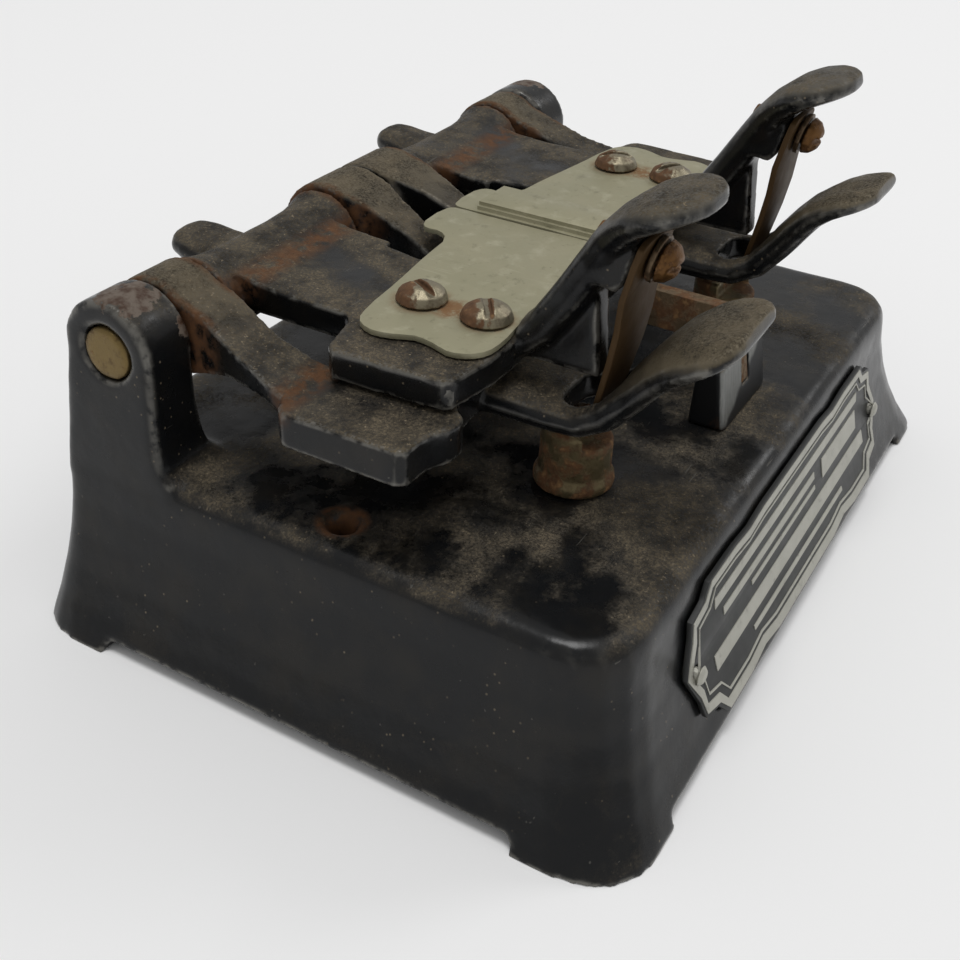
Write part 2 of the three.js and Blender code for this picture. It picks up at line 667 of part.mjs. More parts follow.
function centreScrew() {
  const seat = BASE.height - BASE_WALL - GAP;
  const headRadius = 3.4;
  const headHeight = 2.2;
  const tip = GUIDE.rootBottom - 1.8;
  return turned([
    [0, seat - headHeight], [headRadius, seat - headHeight], [headRadius, seat], [CENTRE.screw, seat],
    [CENTRE.screw, tip], [0, tip],
  ], CENTRE.x, CENTRE_SCREW_Y);
}

// A plate along Y: its tail reaches back towards the film plates, its root stands in the block's slit.
function guidePlate() {
  const { x, thickness, back, stepY, top, tailBottom, rootBottom } = GUIDE;
  const rootBack = CENTRE.back - 0.6;
  const faceBottom = CENTRE.frontFoot + 0.8;
  const faceTop = CENTRE.frontTop + 0.6;
  const shape = outline([
    [back, tailBottom], [back, top], [stepY, top], [faceTop, CENTRE.top + 1], [faceTop, CENTRE.top - 0.4],
    [faceBottom, rootBottom], [rootBack, rootBottom], [CENTRE.back + 1.4, tailBottom],
  ]);
  return side(shape, x - thickness / 2, x + thickness / 2);
}

// The base's front wall at a height, moved out by a distance.
function frontWallY(z, out) {
  return -(BASE.front - BASE_FLARE.front * flareAt(z)) - out;
}

function nameplateOutline() {
  const { halfX, low, high } = NAMEPLATE;
  const quarter = [
    [0, high], [14, high], [20, high - 0.6], [26, high], [halfX - 9, high], [halfX - 7, high - 2.2],
    [halfX - 3, high - 3], [halfX - 2.6, high - 5.6], [halfX, (low + high) / 2],
  ];
  const mirrorX = ([x, z]) => [-x, z];
  const mirrorZ = ([x, z]) => [x, low + high - z];
  const top = [...quarter.slice(1).reverse(), ...quarter.slice(0, 1), ...quarter.slice(1).map(mirrorX)];
  const bottom = top.slice(1, -1).map(mirrorZ).reverse();
  return outline([...top, ...bottom]);
}

function nameplate() {
  const { low, high, thickness } = NAMEPLATE;
  const steps = 10;
  const margin = 1;
  const inner = [];
  const outer = [];
  for (let i = 0; i <= steps; i += 1) {
    const z = low - margin + (high - low + 2 * margin) * i / steps;
    inner.push([frontWallY(z, GAP), z]);
    outer.push([frontWallY(z, GAP + thickness), z]);
  }
  const sheet = side(outline([...inner, ...outer.reverse()]), -FAR, FAR);
  const holes = [-1, 1].map((sign) => pinHole(sign));
  return cut(sheet.intersect(front(nameplateOutline(), -FAR, 0)), ...holes);
}

// A body turned about the Y axis through a nameplate pin, from [radius, y] points.
function onPinAxis(points, sign) {
  const profile = points.map(([radius, y]) => new THREE.Vector2(radius, y));
  const geometry = new THREE.LatheGeometry(profile, 10);
  geometry.translate(sign * NAMEPLATE.pinX, 0, NAMEPLATE.pinZ);
  return solid(geometry);
}

function pinHole(sign) {
  return onPinAxis([[0, -60], [1.3, -60], [1.3, -43.5], [0, -43.5]], sign);
}

function nameplatePin(sign) {
  const face = frontWallY(NAMEPLATE.pinZ, GAP + NAMEPLATE.thickness + 0.6);
  return onPinAxis([
    [0, face - 0.9], [1, face - 0.7], [1.7, face], [1, face], [1, -44.2], [0, -44.2],
  ], sign);
}

// ---------------------------------------------------------------- assembly
const finishes = {
  enamel: { color: 0x17181b, roughness: 0.45, metalness: 0.1 },
  plate: { color: 0xa39c83, roughness: 0.5, metalness: 0.85 },
  screw: { color: 0x9c8a62, roughness: 0.5, metalness: 0.8 },
  rusty: { color: 0x6e4a2c, roughness: 0.75, metalness: 0.4 },
  leaf: { color: 0x55402a, roughness: 0.7, metalness: 0.5 },
  rod: { color: 0x7d6a48, roughness: 0.5, metalness: 0.8 },
  name: { color: 0x8f9089, roughness: 0.45, metalness: 0.7 },
};

const assembly = new THREE.Group();

function add(parent, name, body, finish) {
  const mesh = new THREE.Mesh(geometryOf(body), new THREE.MeshStandardMaterial(finishes[finish]));
  mesh.name = name;
  parent.add(mesh);
}

function mirrored(body) {
  return body.mirror([1, 0, 0]);
}

// The pieces of one arm pair. They are drawn for the left side and mirrored for the right.
function armPair(sideName, place, plate) {
  const lower = new THREE.Group();
  add(lower, `lower_${sideName}_arm`, place(lowerArm()), 'enamel');
  add(lower, `${sideName}_film_track`, place(filmTrack()), 'plate');
  TRACK_SCREW.x.forEach((x, i) => {
    add(lower, `${sideName}_track_screw_${['outer', 'inner'][i]}`, place(trackScrew(x)), 'plate');
  });
  add(lower, `${sideName}_register_pin_rear`, place(registerPin(1)), 'plate');
  add(lower, `${sideName}_register_pin_front`, place(registerPin(-1)), 'plate');

  const upper = new THREE.Group();
  add(upper, `upper_${sideName}_arm`, place(upperArm()), 'enamel');
  add(upper, `${sideName}_pressure_plate`, place(plate), 'plate');
  const seat = PLATE.bottom + PLATE.thickness + GAP;
  const slotAngles = [1.1, 0.6];
  PLATE_SCREW.y.forEach((y, i) => {
    const screw = roundHeadScrew(PLATE_SCREW.x, y, seat, PLATE_SCREW, slotAngles[i]);
    add(upper, `${sideName}_plate_screw_${['rear', 'front'][i]}`, place(screw), 'screw');
  });
  add(upper, `${sideName}_latch_spring`, place(latchSpring()), 'leaf');
  add(upper, `${sideName}_latch_washer`, place(latchWasher()), 'rusty');
  add(upper, `${sideName}_latch_screw`, place(latchScrew()), 'rusty');
  lower.add(upper);
  return lower;
}

add(assembly, 'base_casting', baseCasting(), 'enamel');
add(assembly, 'hinge_rod', rodX(HINGE.rodRadius, -POST.outer, POST.outer, HINGE.y, HINGE.z), 'rod');
assembly.add(armPair('left', (body) => body, leftPlate()));
assembly.add(armPair('right', mirrored, rightPlateAsLeft()));
add(assembly, 'left_rest_post', restPost(), 'screw');
add(assembly, 'right_rest_post', mirrored(restPost()), 'screw');
add(assembly, 'centre_block', centreBlock(), 'enamel');
add(assembly, 'centre_block_screw', centreScrew(), 'rusty');
add(assembly, 'centre_guide_plate', guidePlate(), 'rusty');
add(assembly, 'nameplate', nameplate(), 'name');
add(assembly, 'nameplate_pin_left', nameplatePin(-1), 'name');
add(assembly, 'nameplate_pin_right', nameplatePin(1), 'name');

export default assembly;
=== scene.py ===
"""Looks of the hand film splicer: cast enamel, tarnished plates, rusty screws, in soft studio light."""

import json
import math

import bmesh
import bpy
from mathutils import Matrix, Vector
from mathutils.bvhtree import BVHTree


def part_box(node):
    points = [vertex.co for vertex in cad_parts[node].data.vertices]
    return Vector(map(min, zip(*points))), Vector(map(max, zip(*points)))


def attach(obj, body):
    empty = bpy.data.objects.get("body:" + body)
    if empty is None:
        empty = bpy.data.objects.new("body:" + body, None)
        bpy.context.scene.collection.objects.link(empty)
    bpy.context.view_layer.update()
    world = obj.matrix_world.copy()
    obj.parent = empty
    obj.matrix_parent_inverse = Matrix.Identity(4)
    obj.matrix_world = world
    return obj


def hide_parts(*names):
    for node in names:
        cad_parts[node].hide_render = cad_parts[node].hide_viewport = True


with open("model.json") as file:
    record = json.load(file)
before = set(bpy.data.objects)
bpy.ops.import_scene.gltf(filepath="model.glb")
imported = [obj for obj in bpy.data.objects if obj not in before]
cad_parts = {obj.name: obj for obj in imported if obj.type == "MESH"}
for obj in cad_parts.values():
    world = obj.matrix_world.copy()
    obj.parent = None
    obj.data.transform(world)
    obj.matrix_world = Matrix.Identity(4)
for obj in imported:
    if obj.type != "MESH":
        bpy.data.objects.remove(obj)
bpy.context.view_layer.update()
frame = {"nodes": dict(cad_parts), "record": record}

MM = 0.001

# ---------------------------------------------------------------- camera
CAMERA_PLACE = Vector((-0.17002, -0.08191, 0.13180))
CAMERA_HEADING = math.radians(30.25)      # from +X towards +Y
CAMERA_PITCH = math.radians(-33.6)
CAMERA_ROLL = math.radians(1.8)
CAMERA_LENS = 47.37
CAMERA_SHIFT = (0.0326, -0.0150)
SENSOR_WIDTH = 36
NEAR_CLIP = 0.01


def make_camera():
    look = Vector((
        math.cos(CAMERA_PITCH) * math.cos(CAMERA_HEADING),
        math.cos(CAMERA_PITCH) * math.sin(CAMERA_HEADING),
        math.sin(CAMERA_PITCH),
    ))
    level = look.cross(Vector((0, 0, 1))).normalized()
    upright = level.cross(look)
    right = math.cos(CAMERA_ROLL) * level + math.sin(CAMERA_ROLL) * upright
    up = math.cos(CAMERA_ROLL) * upright - math.sin(CAMERA_ROLL) * level
    data = bpy.data.cameras.new("camera")
    data.sensor_width = SENSOR_WIDTH
    data.lens = CAMERA_LENS
    data.shift_x, data.shift_y = CAMERA_SHIFT
    data.clip_start = NEAR_CLIP
    camera = bpy.data.objects.new("camera", data)
    turn = Matrix((right, up, -look)).transposed().to_4x4()
    camera.matrix_world = Matrix.Translation(CAMERA_PLACE) @ turn
    bpy.context.collection.objects.link(camera)
    bpy.context.scene.camera = camera


# ---------------------------------------------------------------- shader building
class Shader:
    """A node material in the making. Values are sockets or plain numbers, colours are RGB."""

    def __init__(self, name):
        self.material = bpy.data.materials.new(name)
        self.material.use_nodes = True
        self.tree = self.material.node_tree
        self.bsdf = self.tree.nodes["Principled BSDF"]
        coords = self.tree.nodes.new("ShaderNodeTexCoord")
        self.place = coords.outputs["Object"]
        self.normal = coords.outputs["Normal"]

    def put(self, socket, value):
        if isinstance(value, bpy.types.NodeSocket):
            self.tree.links.new(value, socket)
        elif isinstance(value, tuple) and len(value) == 3 and len(socket.default_value) == 4:
            socket.default_value = (*value, 1)
        else:
            socket.default_value = value

    def math(self, operation, a, b=0.0):
        node = self.tree.nodes.new("ShaderNodeMath")
        node.operation = operation
        self.put(node.inputs[0], a)
        self.put(node.inputs[1], b)
        return node.outputs[0]

    def steps(self, value, low, high):
        """0 below low, 1 above high, smooth between. low may be above high."""
        node = self.tree.nodes.new("ShaderNodeMapRange")
        node.interpolation_type = "SMOOTHSTEP"
        self.put(node.inputs["Value"], value)
        if low <= high:
            self.put(node.inputs["From Min"], low)
            self.put(node.inputs["From Max"], high)
        else:
            self.put(node.inputs["From Min"], high)
            self.put(node.inputs["From Max"], low)
            self.put(node.inputs["To Min"], 1.0)
            self.put(node.inputs["To Max"], 0.0)
        return node.outputs["Result"]

    def noise(self, size, detail=4.0, rough=0.55, stretch=None, distortion=0.0):
        """Noise with features of a size in millimetres."""
        node = self.tree.nodes.new("ShaderNodeTexNoise")
        node.inputs["Scale"].default_value = 1 / (size * MM)
        node.inputs["Detail"].default_value = detail
        node.inputs["Roughness"].default_value = rough
        node.inputs["Distortion"].default_value = distortion
        self.put(node.inputs["Vector"], self.stretched(stretch))
        return node.outputs["Fac"]

    def cells(self, size):
        """Distance to the nearest of scattered points, about a size in millimetres apart."""
        node = self.tree.nodes.new("ShaderNodeTexVoronoi")
        node.inputs["Scale"].default_value = 1 / (size * MM)
        self.put(node.inputs["Vector"], self.place)
        return node.outputs["Distance"]

    def stretched(self, stretch):
        """The object's own coordinates, scaled along each axis."""
        if stretch is None:
            return self.place
        node = self.tree.nodes.new("ShaderNodeMapping")
        self.put(node.inputs["Vector"], self.place)
        node.inputs["Scale"].default_value = stretch
        return node.outputs["Vector"]

    def part(self, vector, axis):
        node = self.tree.nodes.new("ShaderNodeSeparateXYZ")
        self.put(node.inputs[0], vector)
        return node.outputs[axis]

    def distance(self, point, flat=False):
        """Distance from a point in metres, along the plate only if flat."""
        node = self.tree.nodes.new("ShaderNodeVectorMath")
        node.operation = "DISTANCE"
        self.put(node.inputs[0], self.stretched((1, 1, 0)) if flat else self.place)
        node.inputs[1].default_value = (point[0], point[1], 0 if flat else point[2])
        return node.outputs["Value"]

    def edges(self, low, high):
        """A mask of the outer edges, from how sharply the surface turns."""
        node = self.tree.nodes.new("ShaderNodeNewGeometry")
        return self.steps(node.outputs["Pointiness"], low, high)

    def blend(self, amount, below, above):
        """Mixes two colours."""
        node = self.tree.nodes.new("ShaderNodeMix")
        node.data_type = "RGBA"
        self.put(node.inputs[0], amount)
        self.put(node.inputs[6], below)
        self.put(node.inputs[7], above)
        return node.outputs[2]

    def lerp(self, amount, below, above):
        """Mixes two numbers."""
        node = self.tree.nodes.new("ShaderNodeMix")
        self.put(node.inputs[0], amount)
        self.put(node.inputs[2], below)
        self.put(node.inputs[3], above)
        return node.outputs[0]

    def both(self, *masks):
        """Where every mask is on."""
        result = masks[0]
        for mask in masks[1:]:
            result = self.math("MULTIPLY", result, mask)
        return result

    def either(self, *masks):
        """Where at least one mask is on."""
        result = masks[0]
        for mask in masks[1:]:
            result = self.math("MAXIMUM", result, mask)
        return result

    def relief(self, *layers):
        """Bump from (height socket, depth in millimetres) layers."""
        normal = None
        for height, depth in layers:
            node = self.tree.nodes.new("ShaderNodeBump")
            node.inputs["Strength"].default_value = 1.0
            node.inputs["Distance"].default_value = depth * MM
            self.put(node.inputs["Height"], height)
            if normal is not None:
                self.put(node.inputs["Normal"], normal)
            normal = node.outputs["Normal"]
        self.put(self.bsdf.inputs["Normal"], normal)

    def surface(self, colour, roughness, metallic, specular=0.5):
        self.put(self.bsdf.inputs["Base Color"], colour)
        self.put(self.bsdf.inputs["Roughness"], roughness)
        self.put(self.bsdf.inputs["Metallic"], metallic)
        self.put(self.bsdf.inputs["Specular IOR Level"], specular)
        return self.material


# ---------------------------------------------------------------- colours (linear)
ENAMEL = (0.0052, 0.0056, 0.0062)
ENAMEL_BROWN = (0.0110, 0.0098, 0.0080)
# Worn enamel on the edges, made lighter than the wear alone so that it also works as a painted highlight
# along the rims.
ENAMEL_WORN_AND_HIGHLIGHT = (0.140, 0.134, 0.120)
RUBBED = (0.098, 0.090, 0.074)
RUBBED_BROWN = (0.170, 0.138, 0.086)
DUST = (0.122, 0.098, 0.064)
DUST_DARK = (0.026, 0.021, 0.014)
DUST_PALE = (0.280, 0.225, 0.150)
CHIPPED = (0.130, 0.102, 0.080)
RUST = (0.170, 0.072, 0.025)
RUST_DARK = (0.046, 0.021, 0.010)
RUST_PALE = (0.240, 0.130, 0.052)
STEEL = (0.350, 0.322, 0.218)
STEEL_GREEN = (0.262, 0.252, 0.160)
STEEL_PALE = (0.450, 0.425, 0.310)
NICKEL = (0.300, 0.262, 0.180)
LEAF = (0.066, 0.036, 0.013)
LEAF_PALE = (0.135, 0.080, 0.034)
SILVER = (0.480, 0.472, 0.415)
FIELD = (0.026, 0.027, 0.026)
SCRATCH = (0.110, 0.104, 0.092)
PLATE_BLOT = (0.165, 0.155, 0.095)
PLATE_PIT = (0.100, 0.085, 0.050)
PLATE_GRIME = (0.070, 0.064, 0.052)
GROUND_DARK = (0.100, 0.105, 0.100)
GROUND_BRIGHT = (0.270, 0.270, 0.255)
ROD_BRONZE = (0.215, 0.150, 0.058)
POST_STEEL = (0.170, 0.135, 0.070)
GUIDE_STEEL = (0.260, 0.185, 0.110)
WASHER_STEEL = (0.160, 0.110, 0.065)
LATCH_STEEL = (0.185, 0.090, 0.030)

ENAMEL_SPECULAR = 0.28

# Rust shows in the seams from here towards the hinge, in metres along Y.
HINGE_RUST_FROM = 0.022
HINGE_RUST_FULL = 0.027
# A paddle's rubbed patch reaches its full strength this far above where it starts, in millimetres.
RUB_RISE = 9
# Where the centre block's bright front gives way to black below it, in millimetres, and how steeply the
# line slants.
GROUND_FROM = 31.8
GROUND_FULL = 33.4
GROUND_SLANT = 0.55


def seam_rust(shader, seams, reach):
    """Rust that creeps out of the joints between the barrels, at x places in metres."""
    along = shader.part(shader.place, "X")
    masks = []
    for seam in seams:
        gap = shader.math("ABSOLUTE", shader.math("SUBTRACT", along, seam))
        masks.append(shader.steps(gap, reach, reach * 0.15))
    by_hinge = shader.steps(shader.part(shader.place, "Y"), HINGE_RUST_FROM, HINGE_RUST_FULL)
    return shader.both(shader.either(*masks), by_hinge)


def enamel(name, dust, seams=(), worn_from=None, crease=None, holes=(), chipped=(), rub=RUBBED):
    """Black stove enamel on cast iron: dust on its upper faces, rust in its seams, worn edges that are
    also painted lighter as a highlight.
    dust is how far the dust covers the upper faces. seams are x places, crease is a (y, z) line that
    rust creeps from, and worn_from is the height where a rubbed paddle starts, all in metres. holes and
    chipped are (point, reach) pairs in metres, and rub is the colour of the rubbed paddle."""
    s = Shader(name)
    colour = s.blend(s.steps(s.noise(9, 6, 0.6), 0.42, 0.72), ENAMEL, ENAMEL_BROWN)
    rough = s.lerp(s.noise(4, 5), 0.14, 0.36)

    # Worn edges, lightened further as a painted highlight along the rims.
    edge_wear_and_highlight = s.both(s.edges(0.509, 0.535), s.steps(s.noise(2.4, 4), 0.36, 0.58))
    colour = s.blend(edge_wear_and_highlight, colour, ENAMEL_WORN_AND_HIGHLIGHT)
    metal = s.math("MULTIPLY", edge_wear_and_highlight, 0.4)

    if worn_from is not None:
        height = s.steps(s.part(s.place, "Z"), worn_from, worn_from + RUB_RISE * MM)
        upper_side = s.steps(s.part(s.normal, "Z"), 0.1, 0.75)
        rubbed = s.both(height, upper_side, s.lerp(s.noise(3, 6, 0.7), 0.45, 1.0))
        colour = s.blend(rubbed, colour, rub)
        metal = s.math("MAXIMUM", metal, s.math("MULTIPLY", rubbed, 0.35))
        rough = s.lerp(rubbed, rough, 0.40)

    upward = s.steps(s.part(s.normal, "Z"), 0.40, 0.90)
    cloud = s.steps(s.noise(21, 9, 0.62), 0.58 - 0.18 * dust, 0.74 - 0.18 * dust)
    grain = s.noise(0.42, 3, 0.8)
    settled = s.both(upward, cloud, s.lerp(s.steps(grain, 0.42, 0.60), 0.35, 1.0))
    powder = s.blend(s.steps(s.noise(5.5, 8, 0.72), 0.36, 0.62), DUST_DARK, DUST)
    colour = s.blend(settled, colour, powder)
    rough = s.lerp(settled, rough, 0.92)
    crumbs = s.both(settled, s.steps(s.noise(0.7, 3, 0.75), 0.60, 0.68))
    colour = s.blend(s.math("MULTIPLY", crumbs, 0.75), colour, DUST_PALE)

    specks = s.both(s.steps(s.cells(1.6), 0.15, 0.05), s.steps(s.noise(11, 4), 0.46, 0.62))
    colour = s.blend(s.math("MULTIPLY", specks, 0.4), colour, DUST_PALE)
    smears = s.steps(s.noise(6, 8, 0.72, distortion=0.6), 0.58, 0.76)
    colour = s.blend(s.math("MULTIPLY", smears, 0.35), colour, DUST_DARK)
    chips = s.both(s.steps(s.noise(2.2, 6, 0.7), 0.70, 0.73), s.steps(s.noise(18, 2), 0.48, 0.60))
    colour = s.blend(s.math("MULTIPLY", chips, 0.8), colour, RUST_DARK)

    rust_masks = []
    if seams:
        rust_masks.append(seam_rust(s, seams, 1.8 * MM))
    if crease is not None:
        rust_masks.append(s.steps(line_distance(s, *crease), 4.0 * MM, 0.5 * MM))
    for hole, reach in holes:
        rust_masks.append(s.steps(s.distance(hole), reach, reach * 0.72))
    for spot, reach in chipped:
        ragged = s.math("ADD", s.distance(spot), s.math("MULTIPLY", s.noise(3.2, 6, 0.7), reach * 2.6))
        torn = s.steps(ragged, reach * 2.24, reach * 2.16)
        colour = s.blend(torn, colour, s.blend(s.steps(s.noise(1.5, 5), 0.3, 0.6), RUST_DARK, CHIPPED))
        rough = s.lerp(torn, rough, 0.55)
    if rust_masks:
        rust = s.both(s.either(*rust_masks), s.steps(s.noise(3.0, 7, 0.7), 0.36, 0.56))
        crust = s.blend(s.noise(1.2, 5), RUST_DARK, RUST)
        colour = s.blend(s.math("MULTIPLY", rust, 0.85), colour, crust)
        rough = s.lerp(rust, rough, 0.85)

    scratch = s.steps(s.noise(0.9, 2, 0.5, stretch=(0.07, 1, 1)), 0.735, 0.76)
    colour = s.blend(s.math("MULTIPLY", scratch, 0.45), colour, SCRATCH)
    s.relief((s.noise(3.2, 3), 0.06), (settled, 0.06), (chips, -0.05))
    return s.surface(colour, rough, metal, ENAMEL_SPECULAR)


def line_distance(s, y, z):
    """Distance from a line along X at (y, z), in metres."""
    across = s.math("SUBTRACT", s.part(s.place, "Y"), y)
    above = s.math("SUBTRACT", s.part(s.place, "Z"), z)
    squares = s.math("ADD", s.math("MULTIPLY", across, across), s.math("MULTIPLY", above, above))
    return s.math("SQRT", squares)


def tarnished(name, stains=()):
    """Cream tarnished steel, with rust stains round points in metres."""
    s = Shader(name)
    colour = s.blend(s.noise(9, 6, 0.6), STEEL_GREEN, STEEL)
    cloud = s.steps(s.noise(3.5, 6, 0.65), 0.50, 0.74)
    colour = s.blend(s.math("MULTIPLY", cloud, 0.5), colour, STEEL_PALE)
    blot = s.steps(s.noise(2.6, 8, 0.74), 0.54, 0.70)
    colour = s.blend(s.math("MULTIPLY", blot, 0.60), colour, PLATE_BLOT)
    pits = s.steps(s.cells(2.3), 0.08, 0.02)
    colour = s.blend(s.math("MULTIPLY", pits, 0.5), colour, PLATE_PIT)
    rough = s.lerp(s.noise(2.2, 5), 0.42, 0.64)
    for point, reach in stains:
        ring = s.steps(s.distance(point, flat=True), reach, reach * 0.45)
        stain = s.both(ring, s.steps(s.noise(2.2, 6, 0.7), 0.34, 0.58))
        rust = s.blend(s.noise(1, 4), RUST, RUST_PALE)
        colour = s.blend(s.math("MULTIPLY", stain, 0.9), colour, rust)
        rough = s.lerp(stain, rough, 0.8)
    scratch = s.steps(s.noise(0.8, 2, 0.5, stretch=(1, 0.05, 1)), 0.70, 0.74)
    colour = s.blend(s.math("MULTIPLY", scratch, 0.25), colour, STEEL_PALE)
    s.relief((s.noise(1.2, 5), 0.015), (pits, -0.03))
    return s.surface(colour, rough, 0.35, 0.4)


def corroded(name, bare, cover, pitting=0.06, lean=(0, 0)):
    """Plated or bare steel, partly covered in rust. cover runs from 0 to 1; the side that lean, an (x, y)
    direction, points to is drawn browner and darker, in rust colours."""
    s = Shader(name)
    to_x = s.math("MULTIPLY", s.part(s.normal, "X"), lean[0])
    to_y = s.math("MULTIPLY", s.part(s.normal, "Y"), lean[1])
    facing = s.math("ADD", to_x, to_y)
    spread = s.math("ADD", s.noise(3.4, 7, 0.68), facing)
    patch = s.steps(spread, 0.68 - 0.34 * cover, 0.82 - 0.34 * cover)
    rusty = s.blend(s.noise(0.8, 5, 0.7), RUST_DARK, RUST)
    rusty = s.blend(s.steps(s.noise(1.7, 4), 0.56, 0.72), rusty, RUST_PALE)
    shade = s.blend(s.noise(5, 4), bare, tuple(0.6 * c for c in bare))
    colour = s.blend(s.math("MULTIPLY", patch, 0.92), shade, rusty)
    grime = s.steps(s.noise(1.4, 6, 0.7), 0.48, 0.68)
    colour = s.blend(s.math("MULTIPLY", grime, 0.5), colour, RUST_DARK)
    rough = s.lerp(patch, 0.40, 0.80)
    metal = s.lerp(patch, 0.75, 0.10)
    s.relief((s.noise(0.7, 5, 0.7), pitting), (patch, pitting))
    return s.surface(colour, rough, metal, 0.35)


def spring_steel(name):
    """A brown oxidised leaf, brushed along its length, with paler brushed streaks."""
    s = Shader(name)
    brushed = s.noise(0.6, 4, 0.6, stretch=(1, 1, 0.08))
    colour = s.blend(s.noise(7, 4), LEAF, tuple(0.45 * c for c in LEAF))
    colour = s.blend(s.math("MULTIPLY", brushed, 0.45), colour, LEAF_PALE)
    s.relief((brushed, 0.01), (s.noise(1.1, 5), 0.02))
    return s.surface(colour, s.lerp(s.noise(2, 4), 0.46, 0.72), 0.25, 0.2)


def etched(name, light):
    """The nameplate's bright metal or its dark etched field."""
    s = Shader(name)
    base = SILVER if light else FIELD
    colour = s.blend(s.noise(6, 5), base, tuple(0.72 * c for c in base))
    grime = s.steps(s.noise(2.2, 6, 0.7), 0.56, 0.72)
    colour = s.blend(s.math("MULTIPLY", grime, 0.40), colour, PLATE_GRIME)
    s.relief((s.noise(0.4, 4), 0.012))
    return s.surface(colour, s.lerp(s.noise(3, 4), 0.36, 0.58), 0.5 if light else 0.1, 0.4)


def ground_block(name):
    """Black enamelled iron with a bright ground front, drawn black below a slanting line, with patches of
    rust.
    """
    s = Shader(name)
    marks = s.noise(0.5, 4, 0.6, stretch=(1, 1, 0.06))
    bright = s.blend(marks, GROUND_DARK, GROUND_BRIGHT)
    forward = s.steps(s.part(s.normal, "Y"), -0.35, -0.65)
    slant = s.math("MULTIPLY", s.part(s.place, "X"), GROUND_SLANT)
    above = s.math("SUBTRACT", s.part(s.place, "Z"), slant)
    ragged = s.math("ADD", above, s.math("MULTIPLY", s.noise(3, 4), 2 * MM))
    ground = s.both(forward, s.steps(ragged, GROUND_FROM * MM, GROUND_FULL * MM))
    colour = s.blend(ground, ENAMEL, bright)
    rust = s.steps(s.noise(4, 6, 0.7), 0.60, 0.72)
    colour = s.blend(s.math("MULTIPLY", rust, 0.6), colour, RUST_DARK)
    dust = s.both(s.steps(s.part(s.normal, "Z"), 0.4, 0.9), s.steps(s.noise(5, 5), 0.35, 0.6))
    colour = s.blend(dust, colour, DUST)
    s.relief((marks, 0.01))
    return s.surface(colour, 0.42, s.lerp(ground, 0.0, 0.5), ENAMEL_SPECULAR)


# ---------------------------------------------------------------- shapes from the frame
BODIES = frame["record"]["behaviour"]["bodies"]
BODY_OF = {node: body for body, nodes in BODIES.items() for node in nodes}
WELD_DISTANCE = 1e-6
BEVEL_ANGLE = math.radians(40)
SHARP_ANGLE = math.radians(35)


def take_over(piece, node, material):
    """The piece stands for a CAD node: same body, its own material."""
    piece.data.materials.clear()
    piece.data.materials.append(material)
    for polygon in piece.data.polygons:
        polygon.use_smooth = True
    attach(piece, BODY_OF[node])
    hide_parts(node)
    return piece


def apply_modifiers(piece):
    """Makes the modifiers' result the piece's own mesh."""
    bpy.context.view_layer.update()
    settled = piece.evaluated_get(bpy.context.evaluated_depsgraph_get())
    mesh = bpy.data.meshes.new_from_object(settled)
    piece.modifiers.clear()
    old = piece.data
    piece.data = mesh
    bpy.data.meshes.remove(old)


def welded_copy(node):
    """A new object with the CAD node's mesh, its split edges joined."""
    piece = bpy.data.objects.new(f"skin_{node}", frame["nodes"][node].data.copy())
    bpy.context.collection.objects.link(piece)
    weld = piece.modifiers.new("weld", "WELD")
    weld.merge_threshold = WELD_DISTANCE
    return piece


def cast_surface(node, material, voxel, softness, lumps=0.0, lump_size=4.0):
    """The CAD node's shape as a smooth skin: filleted corners, softened edges and cast lumps.
    voxel, lumps and lump_size are in millimetres; softness is the number of smoothing passes."""
    piece = welded_copy(node)
    remesh = piece.modifiers.new("remesh", "REMESH")
    remesh.mode = "VOXEL"
    remesh.voxel_size = voxel * MM
    smooth = piece.modifiers.new("smooth", "SMOOTH")
    smooth.factor = 0.5
    smooth.iterations = softness
    if lumps:
        texture = bpy.data.textures.new(f"lumps_{node}", "CLOUDS")
        texture.noise_scale = lump_size * MM
        displace = piece.modifiers.new("lumps", "DISPLACE")
        displace.texture = texture
        displace.texture_coords = "LOCAL"
        displace.strength = lumps * MM
        displace.mid_level = 0.5
    apply_modifiers(piece)
    return take_over(piece, node, material)


def pressed_surface(node, material, radius):
    """The CAD node's own shape with its sharp edges rounded, for sheet metal.
    radius is in millimetres."""
    piece = welded_copy(node)
    bevel = piece.modifiers.new("bevel", "BEVEL")
    bevel.width = radius * MM
    bevel.segments = 2
    bevel.limit_method = "ANGLE"
    bevel.angle_limit = BEVEL_ANGLE
    apply_modifiers(piece)
    piece.data.set_sharp_from_angle(angle=SHARP_ANGLE)
    return take_over(piece, node, material)


def centre_of(node):
    low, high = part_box(node)
    return (Vector(low) + Vector(high)) / 2


# ---------------------------------------------------------------- nameplate relief
# The relief is laid out in millimetres: x along the plate and z above the floor.
RELIEF_HEIGHT = 0.14
RELIEF_SINK = 0.1
PLATE_HALF = 45
PLATE_LOW = 4
PLATE_HIGH = 25
BORDER_WIDTH = 1.3
BORDER_INSET = 0.9
LINE_WIDTH = 0.3
LINE_INSET = 2.3
# The blank window: left end, right end, height, and the step along it.
WINDOW = (14, 33, 16.2, 3.0)
WINDOW_WIDTH = 3.4
# A place in front of the plate, in metres along Y, from which its face is looked for.
IN_FRONT = -0.1
# The plate's own place along Y, for a point that lies past its edge.
AT_PLATE = -0.055
# Each rule: name, left end, right end, height and width.
RULES = (
    ("upper", -34, 34, 20.0, 1.7),
    ("second", -31, 10, 17.0, 1.2),
    ("third", -20, 10, 14.9, 0.7),
    ("main", -36, 36, 11.6, 2.3),
    ("lower", -22, 22, 8.6, 0.7),
)


